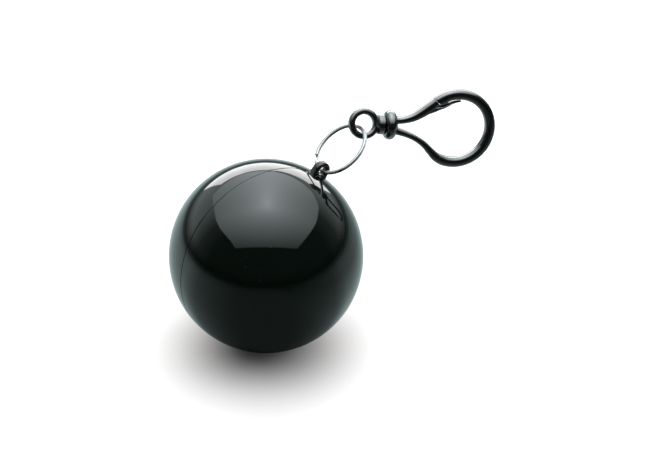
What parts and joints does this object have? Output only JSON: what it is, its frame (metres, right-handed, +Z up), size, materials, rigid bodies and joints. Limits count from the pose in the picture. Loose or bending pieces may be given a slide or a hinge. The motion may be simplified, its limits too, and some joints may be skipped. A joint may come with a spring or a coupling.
{
  "type": "capsule ball key ring",
  "caption": "Hollow plastic ball that parts into two shells, hung by an eyelet and split ring from a swivel snap hook.",
  "frame": {"origin": "point where the ball rests on the floor, straight under its centre", "axes": "+Z up; Y is the way the two shells part, the plain shell on -Y; the eyelet leans from +Z towards +X"},
  "size_m": [0.1142, 0.065, 0.0793],
  "materials": {
    "ball_plastic": "high gloss moulded black",
    "ring_steel": "bright nickel-plated steel",
    "hook_plastic": "satin-gloss moulded black"
  },
  "bodies": {
    "back_shell": {"shell_back": "ball_plastic"},
    "front_shell": {"shell_front": "ball_plastic"},
    "ring": {"split_ring": "ring_steel"},
    "eye": {"swivel_eye": "hook_plastic"},
    "hook": {"hook_body": "hook_plastic"},
    "gate": {"hook_gate": "hook_plastic"}
  },
  "joints": [
    {"name": "shell_pull", "type": "slide", "parent": "back_shell", "child": "front_shell", "axis": [0, -1, 0], "range_m": [0, 0.04]},
    {"name": "ring_swing", "type": "hinge", "parent": "back_shell", "child": "ring", "pos_m": [0.0218, -0.00001, 0.05879], "axis": [0.0434, 0.994, -0.1], "range_deg": [-70, 35]},
    {"name": "eye_swing", "type": "hinge", "parent": "ring", "child": "eye", "pos_m": [0.03738, 0.00044, 0.07], "axis": [0.0434, 0.994, -0.1], "range_deg": [-100, 30]},
    {"name": "hook_swivel", "type": "hinge", "parent": "eye", "child": "hook", "pos_m": [0.03909, 0.00068, 0.07081], "axis": [0.9148, -0.3719, -0.1574], "continuous": true},
    {"name": "gate_flex", "type": "hinge", "parent": "hook", "child": "gate", "pos_m": [0.05148, -0.00395, 0.07054], "axis": [-0.3388, -0.919, 0.2017], "range_deg": [-20, 0], "stiffness_Nm_per_rad": 0.12}
  ]
}
